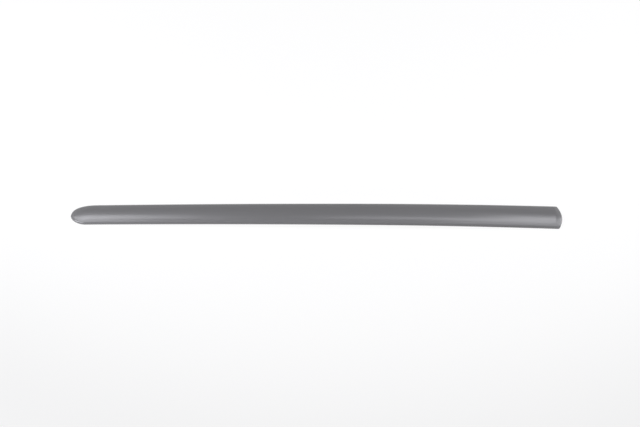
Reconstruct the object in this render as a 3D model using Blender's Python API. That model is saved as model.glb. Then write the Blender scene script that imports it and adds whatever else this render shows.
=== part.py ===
"""Body side moulding of a front door: one injection-moulded strip, lying on its open back.

+X runs along the strip, from the round nose to the folded tail. +Y points to the far long edge
and +Z up through the crown. The origin is on the floor, below the middle of the strip.
All sizes are in metres.

The strip is modelled straight: a lofted skin on a flat back, cored from behind. The finished
solid is then bent to the door's curve, so that it stands on its two ends.
"""

from math import ceil, cos, hypot, pi, sin, sqrt

import bmesh
import bpy

# Outline seen from above
LENGTH = 1.000
NOSE_WIDTH = 0.0446
TAIL_WIDTH = 0.0528
NOSE_FAR_LENGTH = 0.0540
NOSE_FAR_FULLNESS = 2.5
NOSE_NEAR_LENGTH = 0.0303
NOSE_NEAR_FULLNESS = 1.7
NOSE_TIP_OFFSET = 0.0036
TAIL_FAR_SWEEP = 0.0072
TAIL_NEAR_SWEEP = 0.0084
TAIL_SWEEP_POWER = 1.95
TAIL_FAR_CORNER = 0.0015
TAIL_NEAR_CORNER = 0.0025

# Crowned section
CROWN_HEIGHT = 0.0115
EDGE_HEIGHT = 0.0028
NEAR_FLANK_POWER = 2.15
FAR_FLANK_POWER = 1.70
NOSE_ROLL = 0.0460
NOSE_ROLL_POWER = 2.1

# Folded-over tail
FOLD_MIDDLE = 0.0140
FOLD_EDGE = 0.0060
FOLD_RAMP = 0.60
FOLD_SOFTNESS = 0.15
END_ROLL_POWER = 4.0
TAIL_BLEND = 0.0460

# Bend to the door's curve
ARCH_RISE = 0.0090
ARCH_CREST = 0.600

# Moulded back
WALL = 0.0028
LIP_WIDTH = 0.0024
TAPE_RECESS = 0.0009
TAPE_LAND_WIDTH = 0.0095
RIB_PITCH = 0.0460
RIB_THICKNESS = 0.0018
POCKET_CORNER_RADIUS = 0.0015
DRAFT_SLOPE = 0.026

# Fineness of the facets
FLANK_SEGMENTS = 16
NOSE_ROWS = 22
FOLD_ROWS = 14
FOLD_CROWDING = 1.5
BLEND_ROWS = 2
CORNER_SEGMENTS = 2
CUTTER_OVERSHOOT = 0.0020
SAME_PLACE = 1e-6
WALL_TILT = 0.1
CORNER_ANGLE = pi / 4
SHARP_ANGLE = pi / 4

# Plastic
PLASTIC_COLOUR = (0.119, 0.118, 0.120, 1.0)
PLASTIC_ROUGHNESS = 0.25

NOSE_TIP = -LENGTH / 2
TAIL_TIP = LENGTH / 2
NOSE_END = NOSE_TIP + NOSE_ROLL
TAIL_START = TAIL_TIP - TAIL_BLEND


def remove_old_objects():
    """Empty the scene of objects."""
    for old in list(bpy.data.objects):
        bpy.data.objects.remove(old, do_unlink=True)


def half_width(x):
    """Half the strip's width at x, where neither end rounds it off."""
    share = (x - NOSE_TIP) / LENGTH
    return (NOSE_WIDTH + (TAIL_WIDTH - NOSE_WIDTH) * share) / 2


def rounded_quarter(distance, length, fullness):
    """Rise of a quarter oval of unit height, from its tip to its full height at the length.

    A fullness of 2 is an ellipse, more is squarer and less is slimmer.
    """
    if distance >= length:
        return 1.0
    gone = 1 - max(distance, 0.0) / length
    return max(0.0, 1 - gone**fullness) ** (1 / fullness)


def long_edges(x, inset=0.0):
    """Near and far long edge at x, both moved inwards by the inset."""
    from_tip = x - NOSE_TIP - inset
    middle = -NOSE_TIP_OFFSET
    near = half_width(x) - inset + middle
    far = half_width(x) - inset - middle
    near *= rounded_quarter(from_tip, NOSE_NEAR_LENGTH - inset, NOSE_NEAR_FULLNESS)
    far *= rounded_quarter(from_tip, NOSE_FAR_LENGTH - inset, NOSE_FAR_FULLNESS)
    return middle - near, middle + far


def flank_shape(angle):
    """Place across and height of a point of the crown, for an angle from 0 to pi.

    Across runs from -1 at the near edge to +1 at the far edge, and the height from 0 to 1.
    """
    power = NEAR_FLANK_POWER if angle < pi / 2 else FAR_FLANK_POWER
    across = abs(cos(angle)) ** (2 / power)
    height = max(sin(angle), 0.0) ** (2 / power)
    return (-across if angle < pi / 2 else across), height


def section_shape():
    """The points of the crown's section, each with its place across and its height."""
    count = 2 * FLANK_SEGMENTS
    return [flank_shape(pi * step / count) for step in range(count + 1)]


def roof_height(across, inset):
    """Height of the crown at a place across of -1 to +1, with the crown lowered by the inset."""
    power = NEAR_FLANK_POWER if across < 0 else FAR_FLANK_POWER
    rise = max(0.0, 1 - abs(across) ** power) ** (1 / power)
    return EDGE_HEIGHT + (CROWN_HEIGHT - EDGE_HEIGHT - inset) * rise


def crown_row(x, inset, lift=1.0):
    """One straight section of the skin at x, with its crown lifted by a share of its height."""
    near, far = long_edges(x, inset)
    crown_y = -NOSE_TIP_OFFSET * (1 - rounded_quarter(x - NOSE_TIP - inset, NOSE_ROLL, 2))
    rise = (CROWN_HEIGHT - EDGE_HEIGHT - inset) * lift
    row = []
    for across, height in section_shape():
        reach = crown_y - near if across < 0 else far - crown_y
        row.append((x, crown_y + across * reach, EDGE_HEIGHT + rise * height))
    return row


def nose_rows(inset, end):
    """Sections from the tip of the nose to the given end, closer together near the tip."""
    tip = NOSE_TIP + inset
    rows = []
    for step in range(NOSE_ROWS + 1):
        distance = (end - tip) * (1 - cos(pi / 2 * step / NOSE_ROWS))
        gone = max(0.0, 1 - distance / (NOSE_ROLL - inset))
        lift = (1 - gone**NOSE_ROLL_POWER) ** (1 / NOSE_ROLL_POWER)
        rows.append(crown_row(tip + distance, inset, lift))
    return rows


def tail_curve(across):
    """How far the tail's end lies short of its tip, at a place across of -1 to +1."""
    sweep = TAIL_NEAR_SWEEP if across < 0 else TAIL_FAR_SWEEP
    return sweep * abs(across) ** TAIL_SWEEP_POWER


def corner_cut(distance, radius):
    """How far a rounded corner stands in from the long edge, at a distance from the end."""
    left = max(0.0, radius - distance)
    return radius - sqrt(radius * radius - left * left)


def fold_drop(gone):
    """Share of the crown's height that is lost between the fold, at 0, and the end, at 1.

    A soft crease leads into a straight ramp, and the end rolls over to its upright edge.
    """
    ramp = (hypot(gone, FOLD_SOFTNESS) - FOLD_SOFTNESS) / (hypot(1, FOLD_SOFTNESS) - FOLD_SOFTNESS)
    roll = 1 - (1 - gone**END_ROLL_POWER) ** (1 / END_ROLL_POWER)
    return FOLD_RAMP * ramp + (1 - FOLD_RAMP) * roll


def fold_row(share, inset):
    """One row of the folded-over tail, from the fold at a share of 1 to the end at 0."""
    lift = 1 - fold_drop(1 - share)
    row = []
    for across, height in section_shape():
        depth = FOLD_EDGE + (FOLD_MIDDLE - FOLD_EDGE) * height
        corner = TAIL_NEAR_CORNER if across < 0 else TAIL_FAR_CORNER
        full = half_width(TAIL_TIP - share * depth) - inset
        y = across * (full - corner_cut(share * FOLD_EDGE, corner))
        x = TAIL_TIP - inset - tail_curve(y / full) - share * depth
        z = EDGE_HEIGHT + (CROWN_HEIGHT - EDGE_HEIGHT - inset) * height * lift
        row.append((x, y, z))
    return row


def tail_rows(inset, start):
    """Sections from a straight one at the start to the curved end of the tail."""
    straight = crown_row(start, inset)
    fold = fold_row(1.0, inset)
    rows = []
    for step in range(BLEND_ROWS + 1):
        share = step / (BLEND_ROWS + 1)
        rows.append([
            tuple(a + (b - a) * share for a, b in zip(first, last))
            for first, last in zip(straight, fold)
        ])
    for step in range(FOLD_ROWS + 1):
        share = (1 + cos(pi * step / FOLD_ROWS)) / 2
        rows.append(fold_row(share**FOLD_CROWDING, inset))
    return rows


def is_wall(face):
    """Tell an upright or nearly upright face from a roof or a floor."""
    return abs(face.normal.z) < WALL_TILT


def flare_foot(mesh, floor, slope):
    """Lean the walls outwards, so that the foot is wider than the rim by the mould's draft."""
    moves = {}
    for vert in mesh.verts:
        walls = [face.normal for face in vert.link_faces if is_wall(face)]
        if abs(vert.co.z - floor) > SAME_PLACE or len(walls) != 2:
            continue
        height = max(edge.other_vert(vert).co.z for edge in vert.link_edges) - floor
        moves[vert] = (walls[0] + walls[1]) / (1 + walls[0].dot(walls[1])) * height * slope
    for vert, move in moves.items():
        vert.co += move


def block_below(name, rows, floor, draft=0.0):
    """Closed solid with the rows as its top skin, and walls with some draft to a flat floor."""
    mesh = bmesh.new()
    grid = [[mesh.verts.new(point) for point in row] for row in rows]
    for row, following in zip(grid, grid[1:]):
        for near, far, far_next, near_next in zip(row, row[1:], following[1:], following):
            mesh.faces.new((near, near_next, far_next, far))
    bmesh.ops.remove_doubles(mesh, verts=mesh.verts, dist=SAME_PLACE)
    rim = [edge for edge in mesh.edges if edge.is_boundary]
    walls = bmesh.ops.extrude_edge_only(mesh, edges=rim)["geom"]
    for part in walls:
        if isinstance(part, bmesh.types.BMVert):
            part.co.z = floor
    foot = [edge for edge in mesh.edges if edge.is_boundary]
    bmesh.ops.holes_fill(mesh, edges=foot, sides=0)
    bmesh.ops.recalc_face_normals(mesh, faces=mesh.faces)
    if draft:
        flare_foot(mesh, floor, draft)
    return as_object(name, mesh)


def cutter_below(name, rows):
    """Cutter with the rows as its roof, open at the back, with the mould's draft."""
    return block_below(name, rows, -CUTTER_OVERSHOOT, DRAFT_SLOPE)


def as_object(name, mesh):
    """Store a bmesh as a named object of the scene."""
    data = bpy.data.meshes.new(name)
    mesh.to_mesh(data)
    mesh.free()
    made = bpy.data.objects.new(name, data)
    bpy.context.collection.objects.link(made)
    return made


def rib_places():
    """Middle of each cross rib, evenly spaced between the two end pockets."""
    count = max(1, ceil((TAIL_START - NOSE_END) / RIB_PITCH))
    return [NOSE_END + (TAIL_START - NOSE_END) * step / count for step in range(count + 1)]


def tape_bed():
    """Cutter for the shallow bed that takes the two adhesive tapes, inside the lip."""
    start = NOSE_END + RIB_THICKNESS / 2
    end = TAIL_START - RIB_THICKNESS / 2
    rows = []
    for x in (start, end):
        reach = half_width(x) - LIP_WIDTH
        rows.append([(x, -reach, TAPE_RECESS), (x, reach, TAPE_RECESS)])
    return cutter_below("tape_bed_cutter", rows)


def channel_row(x):
    """Section of the cored middle channel at x: it follows the crown, one wall below it."""
    reach = half_width(x) - LIP_WIDTH - TAPE_LAND_WIDTH
    inner = half_width(x) - WALL
    row = []
    for step in range(-FLANK_SEGMENTS, FLANK_SEGMENTS + 1, 2):
        y = reach * step / FLANK_SEGMENTS
        row.append((x, y, roof_height(y / inner, WALL)))
    return row


def channel_pocket(start, end):
    """Cutter for one pocket of the middle channel, between two ribs, with rounded corners."""
    rows = [channel_row(start + RIB_THICKNESS / 2), channel_row(end - RIB_THICKNESS / 2)]
    pocket = cutter_below("pocket_cutter", rows)
    mesh = bmesh.new()
    mesh.from_mesh(pocket.data)
    corners = [
        edge for edge in mesh.edges
        if all(is_wall(face) for face in edge.link_faces)
        and edge.calc_face_angle(0.0) > CORNER_ANGLE
    ]
    bmesh.ops.bevel(
        mesh, geom=corners, offset=POCKET_CORNER_RADIUS, segments=CORNER_SEGMENTS,
        profile=0.5, affect="EDGES",
    )
    mesh.to_mesh(pocket.data)
    mesh.free()
    return pocket


def cut(body, cutter):
    """Take the cutter's shape out of the body and remove the cutter."""
    boolean = body.modifiers.new("cut", "BOOLEAN")
    boolean.operation = "DIFFERENCE"
    boolean.solver = "EXACT"
    boolean.object = cutter
    shapes = bpy.context.evaluated_depsgraph_get()
    result = bpy.data.meshes.new_from_object(body.evaluated_get(shapes))
    body.modifiers.remove(boolean)
    body.data = result
    bpy.data.objects.remove(cutter, do_unlink=True)


def arch_height(x):
    """Height of the door's curve at x, nothing at the two tips."""
    crest = NOSE_TIP + ARCH_CREST
    reach = crest - NOSE_TIP if x < crest else TAIL_TIP - crest
    return ARCH_RISE * (1 - ((x - crest) / reach) ** 2)


def bend_to_door(body):
    """Split the straight body at its ribs and raise each stretch to the door's curve.

    Between two ribs the lift is linear, so the flat tape lands stay flat there.
    """
    places = rib_places()
    knots = [NOSE_TIP, *places, TAIL_TIP]
    mesh = bmesh.new()
    mesh.from_mesh(body.data)
    for x in places:
        everything = mesh.verts[:] + mesh.edges[:] + mesh.faces[:]
        bmesh.ops.bisect_plane(
            mesh, geom=everything, dist=SAME_PLACE, plane_co=(x, 0, 0), plane_no=(1, 0, 0)
        )
    for vert in mesh.verts:
        index = max(i for i in range(len(knots) - 1) if i == 0 or vert.co.x >= knots[i])
        start, end = knots[index], knots[index + 1]
        share = (vert.co.x - start) / (end - start)
        vert.co.z += arch_height(start) * (1 - share) + arch_height(end) * share
    mesh.to_mesh(body.data)
    mesh.free()


def grey_plastic():
    """Satin grey thermoplastic, coloured right through."""
    material = bpy.data.materials.new("satin_grey_plastic")
    material.use_nodes = True
    shader = material.node_tree.nodes["Principled BSDF"]
    shader.inputs["Base Color"].default_value = PLASTIC_COLOUR
    shader.inputs["Roughness"].default_value = PLASTIC_ROUGHNESS
    shader.inputs["Metallic"].default_value = 0.0
    return material


def moulding_strip():
    """The whole strip: skin, back, pockets and bend."""
    rows = nose_rows(0.0, NOSE_END) + tail_rows(0.0, TAIL_START)
    strip = block_below("moulding_strip", rows, 0.0)
    cut(strip, tape_bed())
    half_rib = RIB_THICKNESS / 2
    cut(strip, cutter_below("nose_core_cutter", nose_rows(WALL, NOSE_END - half_rib)))
    cut(strip, cutter_below("tail_core_cutter", tail_rows(WALL, TAIL_START + half_rib)))
    places = rib_places()
    for start, end in zip(places, places[1:]):
        cut(strip, channel_pocket(start, end))
    bend_to_door(strip)
    strip.data.materials.append(grey_plastic())
    strip.data.shade_smooth()
    strip.data.set_sharp_from_angle(angle=SHARP_ANGLE)
    return strip


remove_old_objects()
moulding_strip()
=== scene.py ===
"""Looks of a front door's side moulding: a grey satin plastic strip on a white studio floor.

The strip lies on its two ends with its crowned face up. +X runs from the round nose to the
folded tail, +Y to the far long edge and +Z up. All sizes are in metres.
"""

import logging
from dataclasses import dataclass, field
from enum import Enum
from math import cos, pi, radians, sin

import bpy
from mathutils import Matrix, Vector


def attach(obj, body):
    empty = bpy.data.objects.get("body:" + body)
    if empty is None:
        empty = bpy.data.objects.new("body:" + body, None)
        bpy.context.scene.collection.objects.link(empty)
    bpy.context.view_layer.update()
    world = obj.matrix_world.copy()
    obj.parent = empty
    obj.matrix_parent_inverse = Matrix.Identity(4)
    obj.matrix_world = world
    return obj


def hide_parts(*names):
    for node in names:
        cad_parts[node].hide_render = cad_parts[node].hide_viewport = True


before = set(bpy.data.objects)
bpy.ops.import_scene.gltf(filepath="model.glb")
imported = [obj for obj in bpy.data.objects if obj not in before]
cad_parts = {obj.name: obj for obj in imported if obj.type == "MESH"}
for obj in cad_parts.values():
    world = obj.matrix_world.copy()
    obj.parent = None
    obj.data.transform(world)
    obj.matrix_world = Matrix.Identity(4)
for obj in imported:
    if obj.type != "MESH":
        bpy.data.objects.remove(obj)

log = logging.getLogger("moulding")

Colour = tuple[float, float, float]
Point = tuple[float, float, float]

WHITE = (1.0, 1.0, 1.0, 1.0)


class Step(Enum):
    """One step of arithmetic in a node tree."""

    SUBTRACT = "SUBTRACT"
    MULTIPLY = "MULTIPLY"
    LARGER = "MAXIMUM"
    POWER = "POWER"


class Facing(Enum):
    """Way in which a lamp shines."""

    DOWN = (0, 0, -1)
    BACKWARDS = (0, 1, 0)
    TO_TAIL = (1, 0, 0)
    TO_NOSE = (-1, 0, 0)


@dataclass(frozen=True)
class Clouds:
    """Shape of a cloudy variation: clouds for each metre along each axis, and how it is cut."""

    per_metre: Point
    shift: Point
    detail: float
    thin: float = 0.3
    dense: float = 0.7


class NodeGraph:
    """The node tree of one material or world, with short ways to add and join nodes."""

    def __init__(self, tree: bpy.types.NodeTree) -> None:
        """Start with an empty tree.

        Args:
            tree: The node tree to fill.
        """
        self.tree = tree
        self.tree.nodes.clear()

    def add(self, kind: str, **settings: object) -> bpy.types.Node:
        """Add a node and set its properties.

        Args:
            kind: The node's type, such as ShaderNodeTexNoise.
            settings: Properties of the node, by name.

        Returns:
            The new node.
        """
        node = self.tree.nodes.new(kind)
        for name, value in settings.items():
            setattr(node, name, value)
        return node

    def join(self, output: bpy.types.NodeSocket, socket: bpy.types.NodeSocket) -> None:
        """Link an output socket to an input socket."""
        self.tree.links.new(output, socket)

    def feed(self, node: bpy.types.Node, name: str | int, value: object) -> None:
        """Give an input a constant, or link it to an output socket.

        Args:
            node: The node that owns the input.
            name: The input's name or number.
            value: A number, a colour, or an output socket.
        """
        if isinstance(value, bpy.types.NodeSocket):
            self.join(value, node.inputs[name])
        else:
            node.inputs[name].default_value = value

    def work(self, step: Step, first: object, second: object = 0.0) -> bpy.types.NodeSocket:
        """Work out one step of arithmetic.

        Args:
            step: The kind of step.
            first: The first number or output socket.
            second: The second number or output socket.

        Returns:
            The result's socket.
        """
        node = self.add("ShaderNodeMath", operation=step.value)
        self.feed(node, 0, first)
        self.feed(node, 1, second)
        return node.outputs["Value"]

    def ramp(
        self, value: object, low: float, high: float, start: float, end: float
    ) -> bpy.types.NodeSocket:
        """Stretch a range of numbers to another, smoothly and without going past its ends.

        Args:
            value: The number or output socket to stretch.
            low: The value that gives start.
            high: The value that gives end.
            start: The first result.
            end: The last result.

        Returns:
            The result's socket.
        """
        node = self.add("ShaderNodeMapRange", interpolation_type="SMOOTHSTEP")
        for name, number in enumerate((value, low, high, start, end)):
            self.feed(node, name, number)
        return node.outputs["Result"]

    def axis(self, place: bpy.types.NodeSocket, name: str) -> bpy.types.NodeSocket:
        """Take one coordinate, such as X, out of the three."""
        node = self.add("ShaderNodeSeparateXYZ")
        self.feed(node, 0, place)
        return node.outputs[name]

    def clouds(
        self, place: bpy.types.NodeSocket, shape: Clouds, low: float, high: float
    ) -> bpy.types.NodeSocket:
        """Vary a number in soft clouds.

        Args:
            place: The coordinates to read.
            shape: The clouds' shape.
            low: The number where a cloud is thinnest.
            high: The number where a cloud is densest.

        Returns:
            The number's socket.
        """
        stretch = self.add("ShaderNodeMapping")
        self.feed(stretch, "Vector", place)
        self.feed(stretch, "Scale", shape.per_metre)
        self.feed(stretch, "Location", shape.shift)
        noise = self.add("ShaderNodeTexNoise", noise_dimensions="3D")
        self.feed(noise, "Vector", stretch.outputs["Vector"])
        self.feed(noise, "Scale", 1.0)
        self.feed(noise, "Detail", shape.detail)
        return self.ramp(noise.outputs["Fac"], shape.thin, shape.dense, low, high)


@dataclass(frozen=True)
class SatinPlastic:
    """Grey thermoplastic, coloured right through, with a fine moulded grain."""

    name: str = "satin_grey_plastic"
    colour: Colour = (0.119, 0.118, 0.120)
    colour_spread: float = 0.025
    colour_clouds: Clouds = Clouds((3.0, 70.0, 70.0), (0.0, 0.0, 0.0), 3.0)
    refraction: float = 1.55
    roughness: float = 0.25
    roughness_spread: float = 0.012
    roughness_clouds: Clouds = Clouds((5.0, 180.0, 180.0), (3.1, 0.7, 0.2), 4.0)
    grain_size: float = 0.0007
    grain_depth: float = 0.000012

    def material(self) -> bpy.types.Material:
        """Make the plastic's material.

        Returns:
            A material that reads object coordinates only.
        """
        material = bpy.data.materials.new(self.name)
        material.use_nodes = True
        graph = NodeGraph(material.node_tree)
        place = graph.add("ShaderNodeTexCoord").outputs["Object"]
        shader = graph.add("ShaderNodeBsdfPrincipled")
        output = graph.add("ShaderNodeOutputMaterial")
        graph.join(shader.outputs["BSDF"], output.inputs["Surface"])
        graph.feed(shader, "IOR", self.refraction)
        graph.feed(shader, "Base Color", self.tint(graph, place))
        graph.feed(shader, "Roughness", self.dullness(graph, place))
        graph.feed(shader, "Normal", self.grain(graph, place))
        return material

    def tint(self, graph: NodeGraph, place: bpy.types.NodeSocket) -> bpy.types.NodeSocket:
        """Vary the colour a little in clouds that are long along the strip.

        Args:
            graph: The material's node graph.
            place: The object coordinates.

        Returns:
            The colour's socket.
        """
        low, high = 1 - self.colour_spread, 1 + self.colour_spread
        spread = graph.clouds(place, self.colour_clouds, low, high)
        scaled = graph.add("ShaderNodeVectorMath", operation="SCALE")
        graph.feed(scaled, 0, self.colour)
        graph.feed(scaled, "Scale", spread)
        return scaled.outputs["Vector"]

    def dullness(self, graph: NodeGraph, place: bpy.types.NodeSocket) -> bpy.types.NodeSocket:
        """Vary the roughness where hands have polished the grain.

        Args:
            graph: The material's node graph.
            place: The object coordinates.

        Returns:
            The roughness's socket.
        """
        low, high = self.roughness - self.roughness_spread, self.roughness + self.roughness_spread
        return graph.clouds(place, self.roughness_clouds, low, high)

    def grain(self, graph: NodeGraph, place: bpy.types.NodeSocket) -> bpy.types.NodeSocket:
        """Fine pebbled grain of the mould's etched surface.

        Args:
            graph: The material's node graph.
            place: The object coordinates.

        Returns:
            The normal's socket.
        """
        pebbles = graph.add("ShaderNodeTexVoronoi", feature="SMOOTH_F1")
        graph.feed(pebbles, "Vector", place)
        graph.feed(pebbles, "Scale", 1 / self.grain_size)
        bump = graph.add("ShaderNodeBump")
        graph.feed(bump, "Strength", 1.0)
        graph.feed(bump, "Distance", self.grain_depth)
        graph.feed(bump, "Height", pebbles.outputs["Distance"])
        return bump.outputs["Normal"]


@dataclass(frozen=True)
class WhitePaper:
    """Bright floor: white to the camera, with painted shade that makes it a touch greyer in front,
    and with the object's shadow kept.

    The shadow share is how much of its brightness is lit paper, where full_light is the lamps' own
    light on it. Both ends of the fade are distances from the object's middle. The front's numbers
    are the bowed line behind which no shade is painted, and how the painted shade grows in front
    of it.
    """

    name: str = "white_studio_floor"
    albedo: float = 0.85
    shadow_share: float = 0.10
    full_light: float = 0.94
    fade_start: float = 0.85
    fade_end: float = 1.6
    front_line: float = 0.30
    front_middle: float = 0.086
    front_curve: float = 0.362
    front_reach: float = 0.864
    front_power: float = 2.27
    # painted shade: the most by which the floor is darkened in front of the object
    front_painted_shade: float = 0.13

    def material(self) -> bpy.types.Material:
        """Make the floor's material.

        Returns:
            Bright paper for camera, glossy and transmitted rays, and plain paper for others.
        """
        material = bpy.data.materials.new(self.name)
        material.use_nodes = True
        material.cycles.emission_sampling = "NONE"
        graph = NodeGraph(material.node_tree)
        output = graph.add("ShaderNodeOutputMaterial")
        plain = graph.add("ShaderNodeBsdfDiffuse")
        graph.feed(plain, "Color", (self.albedo, self.albedo, self.albedo, 1.0))
        mix = graph.add("ShaderNodeMixShader")
        graph.join(seen_directly(graph), mix.inputs["Fac"])
        graph.join(plain.outputs["BSDF"], mix.inputs[1])
        graph.join(self.bright_paper(graph), mix.inputs[2])
        graph.join(mix.outputs["Shader"], output.inputs["Surface"])
        return material

    def bright_paper(self, graph: NodeGraph) -> bpy.types.NodeSocket:
        """Mix a glow with a small share of lit paper, which takes the object's shadow; both carry
        painted shade in front of the object.

        Args:
            graph: The material's node graph.

        Returns:
            The shader's socket.
        """
        place = graph.add("ShaderNodeTexCoord").outputs["Object"]
        near = self.nearness(graph, place)
        # painted shade: this level makes the floor darker in front of the object
        level = self.level(graph, place, near)
        share = graph.work(Step.MULTIPLY, near, self.shadow_share)
        lit = graph.work(Step.MULTIPLY, share, level)
        paper = graph.work(Step.MULTIPLY, lit, 1 / self.full_light)
        shaded = graph.add("ShaderNodeBsdfDiffuse")
        graph.feed(shaded, "Color", paper)
        rest = graph.work(Step.SUBTRACT, 1.0, share)
        glow = graph.add("ShaderNodeEmission")
        graph.feed(glow, "Strength", graph.work(Step.MULTIPLY, rest, level))
        both = graph.add("ShaderNodeAddShader")
        graph.join(shaded.outputs["BSDF"], both.inputs[0])
        graph.join(glow.outputs["Emission"], both.inputs[1])
        return both.outputs["Shader"]

    def nearness(self, graph: NodeGraph, place: bpy.types.NodeSocket) -> bpy.types.NodeSocket:
        """Tell the floor round the object from the far floor, which blends into the backdrop.

        Args:
            graph: The material's node graph.
            place: The object coordinates.

        Returns:
            A socket that is 1 round the object and 0 far away.
        """
        length = graph.add("ShaderNodeVectorMath", operation="LENGTH")
        graph.feed(length, 0, place)
        return graph.ramp(length.outputs["Value"], self.fade_start, self.fade_end, 1.0, 0.0)

    def level(
        self, graph: NodeGraph, place: bpy.types.NodeSocket, near: bpy.types.NodeSocket
    ) -> bpy.types.NodeSocket:
        """Paint shade on the floor: a little darker in front of the object, and more so towards
        its sides.

        Args:
            graph: The material's node graph.
            place: The object coordinates.
            near: The socket that is 1 round the object.

        Returns:
            The floor's brightness, lowered by the painted shade.
        """
        aside = graph.work(Step.SUBTRACT, graph.axis(place, "X"), self.front_middle)
        bow = graph.work(Step.MULTIPLY, graph.work(Step.POWER, aside, 2.0), self.front_curve)
        behind = graph.work(Step.SUBTRACT, graph.axis(place, "Y"), self.front_line)
        forward = graph.work(Step.LARGER, graph.work(Step.SUBTRACT, bow, behind), 0.0)
        reached = graph.work(Step.MULTIPLY, forward, 1 / self.front_reach)
        share = graph.work(Step.POWER, reached, self.front_power)
        # painted shade, laid only on the floor round the object
        painted_shade = graph.work(Step.MULTIPLY, graph.ramp(share, 0.0, 1.0, 0.0, self.front_painted_shade), near)
        return graph.work(Step.SUBTRACT, 1.0, painted_shade)


def seen_directly(graph: NodeGraph) -> bpy.types.NodeSocket:
    """Tell camera, glossy and transmitted rays from the rest.

    Args:
        graph: The graph that the nodes are added to.

    Returns:
        A socket that is 1 for those rays and 0 for others.
    """
    path = graph.add("ShaderNodeLightPath")
    seen = graph.work(Step.LARGER, path.outputs["Is Camera Ray"], path.outputs["Is Glossy Ray"])
    return graph.work(Step.LARGER, seen, path.outputs["Is Transmission Ray"])


@dataclass
class MouldingStrip:
    """The one moulded piece: crowned skin, upright edge, sealing lip and cored back."""

    node: str = "moulding_strip"
    piece_name: str = "moulded_strip"
    weld_distance: float = 1e-5
    smooth_angle: float = 30.0
    finish: SatinPlastic = field(default_factory=SatinPlastic)

    def build(self) -> bpy.types.Object:
        """Copy the solid and merge its loose triangles.

        Returns:
            The finished mesh object.
        """
        bpy.ops.object.select_all(action="DESELECT")
        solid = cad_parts[self.node]
        solid.select_set(True)
        bpy.context.view_layer.objects.active = solid
        bpy.ops.object.duplicate()
        piece = bpy.context.active_object
        piece.name = self.piece_name
        piece.data.name = self.piece_name
        bpy.ops.object.mode_set(mode="EDIT")
        bpy.ops.mesh.select_all(action="SELECT")
        bpy.ops.mesh.remove_doubles(threshold=self.weld_distance)
        bpy.ops.mesh.normals_make_consistent(inside=False)
        bpy.ops.object.mode_set(mode="OBJECT")
        bpy.ops.object.shade_smooth_by_angle(angle=radians(self.smooth_angle))
        return piece

    def dress(self, piece: bpy.types.Object) -> None:
        """Give the piece its finish and its place in the frame."""
        piece.data.materials.clear()
        piece.data.materials.append(self.finish.material())
        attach(piece, "root")
        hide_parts(self.node)


@dataclass(frozen=True)
class SoftBox:
    """A flat rectangular lamp with an even glow."""

    name: str
    place: Point
    facing: Facing
    width: float
    depth: float
    glow: float
    tint: Colour = (1.0, 1.0, 1.055)

    def hang(self) -> bpy.types.Object:
        """Add the lamp at its place.

        Returns:
            The lamp, unseen by the camera.
        """
        bpy.ops.object.light_add(type="AREA", location=self.place)
        lamp = bpy.context.active_object
        lamp.name = self.name
        lamp.data.shape = "RECTANGLE"
        lamp.data.size = self.width
        lamp.data.size_y = self.depth
        lamp.data.energy = self.glow * pi * self.width * self.depth
        lamp.data.color = self.tint
        lamp.rotation_euler = (-Vector(self.facing.value)).to_track_quat("Z", "Y").to_euler()
        lamp.visible_camera = False
        return lamp


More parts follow.
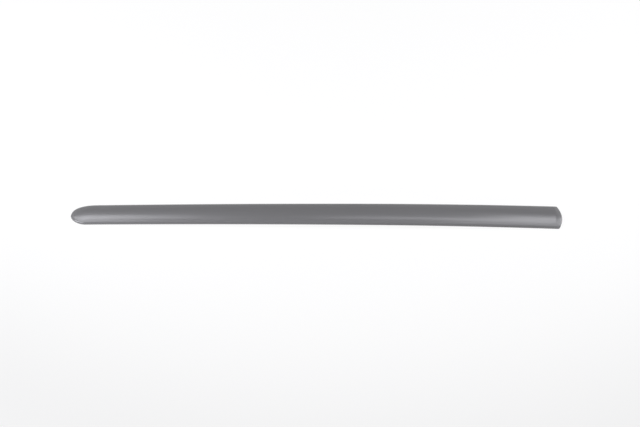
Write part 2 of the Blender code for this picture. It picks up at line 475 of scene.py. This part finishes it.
@dataclass
class Studio:
    """Floor, surroundings and lamps.

    A wide soft box with a brighter core hangs over each end of the strip and a narrow one over its
    middle. Low fills beside both ends light the nose's rim and the tail's fold.
    """

    floor_size: float = 12.0
    surroundings: float = 0.0
    finish: WhitePaper = field(default_factory=WhitePaper)
    lamps: tuple[SoftBox, ...] = (
        SoftBox("nose_soft_box", (-1.51, -0.46, 1.4), Facing.DOWN, 1.48, 2.02, 3.79),
        SoftBox("nose_soft_box_core", (-0.895, 0.18, 1.35), Facing.DOWN, 0.79, 0.60, 2.60),
        SoftBox("tail_soft_box", (1.455, -0.51, 1.4), Facing.DOWN, 1.89, 1.50, 2.00),
        SoftBox("tail_soft_box_core", (0.96, 0.50, 1.35), Facing.DOWN, 0.48, 0.40, 5.35),
        SoftBox("tail_soft_box_front", (0.96, 0.0, 1.35), Facing.DOWN, 0.48, 0.59, 1.3),
        SoftBox("middle_soft_box", (0.535, 0.205, 1.45), Facing.DOWN, 0.99, 0.39, 2.2),
        SoftBox("tail_strip_light", (2.35, 0.29, 1.35), Facing.DOWN, 0.1, 0.70, 26.0),
        SoftBox("nose_fill_front", (-2.0, -2.2, 0.4), Facing.BACKWARDS, 0.8, 0.6, 19.3),
        SoftBox("nose_fill_side", (-2.5, -1.5, 0.4), Facing.TO_TAIL, 1.0, 0.6, 19.3),
        SoftBox("tail_fill_front", (2.0, -2.2, 0.4), Facing.BACKWARDS, 0.8, 0.6, 5.26),
        SoftBox("tail_fill_low", (2.5, 0.5, 0.4), Facing.TO_NOSE, 1.0, 0.6, 4.84),
        SoftBox("tail_fill_high", (2.5, 0.5, 1.0), Facing.TO_NOSE, 1.0, 0.6, 2.26),
    )

    def floor(self) -> bpy.types.Object:
        """Lay the floor under the strip's lowest point.

        Returns:
            The floor, marked as stage.
        """
        bpy.ops.object.select_all(action="DESELECT")
        bpy.ops.mesh.primitive_plane_add(size=self.floor_size, location=(0, 0, 0))
        floor = bpy.context.active_object
        floor.name = "studio_floor"
        floor.data.materials.append(self.finish.material())
        return floor

    def world(self) -> None:
        """Surround the scene with white that is seen and mirrored, but gives no light."""
        world = bpy.data.worlds.new("white_surroundings")
        world.use_nodes = True
        world.cycles.sampling_method = "NONE"
        bpy.context.scene.world = world
        graph = NodeGraph(world.node_tree)
        background = graph.add("ShaderNodeBackground")
        output = graph.add("ShaderNodeOutputWorld")
        graph.join(background.outputs["Background"], output.inputs["Surface"])
        graph.feed(background, "Color", WHITE)
        strength = graph.ramp(seen_directly(graph), 0.0, 1.0, self.surroundings, 1.0)
        graph.feed(background, "Strength", strength)


@dataclass
class ProductCamera:
    """The photograph's camera, looking down on the strip's crowned face."""

    lens: float = 50.0
    distance: float = 1.818
    elevation: float = 56.3
    azimuth: float = 0.377
    aim: Point = (0.00755, 0.0083, 0.0)

    def place(self) -> bpy.types.Object:
        """Set the camera up and make it the scene's own.

        Returns:
            The camera.
        """
        around, up = radians(self.azimuth), radians(self.elevation)
        back = Vector((sin(around) * cos(up), -cos(around) * cos(up), sin(up)))
        bpy.ops.object.camera_add(location=Vector(self.aim) + back * self.distance)
        camera = bpy.context.active_object
        camera.name = "product_camera"
        camera.rotation_euler = back.to_track_quat("Z", "Y").to_euler()
        camera.data.lens = self.lens
        bpy.context.scene.camera = camera
        return camera


def main() -> None:
    """Build the strip and its studio, and log what was made."""
    logging.basicConfig(level=logging.INFO, format="%(name)s: %(message)s")
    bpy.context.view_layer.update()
    strip = MouldingStrip()
    piece = strip.build()
    strip.dress(piece)
    log.info("%s: %d faces", piece.name, len(piece.data.polygons))
    studio = Studio()
    studio.world()
    log.info("floor: %s", studio.floor().name)
    for soft_box in studio.lamps:
        log.info("lamp: %s", soft_box.hang().name)
    log.info("camera: %s", ProductCamera().place().name)
    bpy.context.scene.view_settings.view_transform = "Standard"


if __name__ == "__main__":
    main()
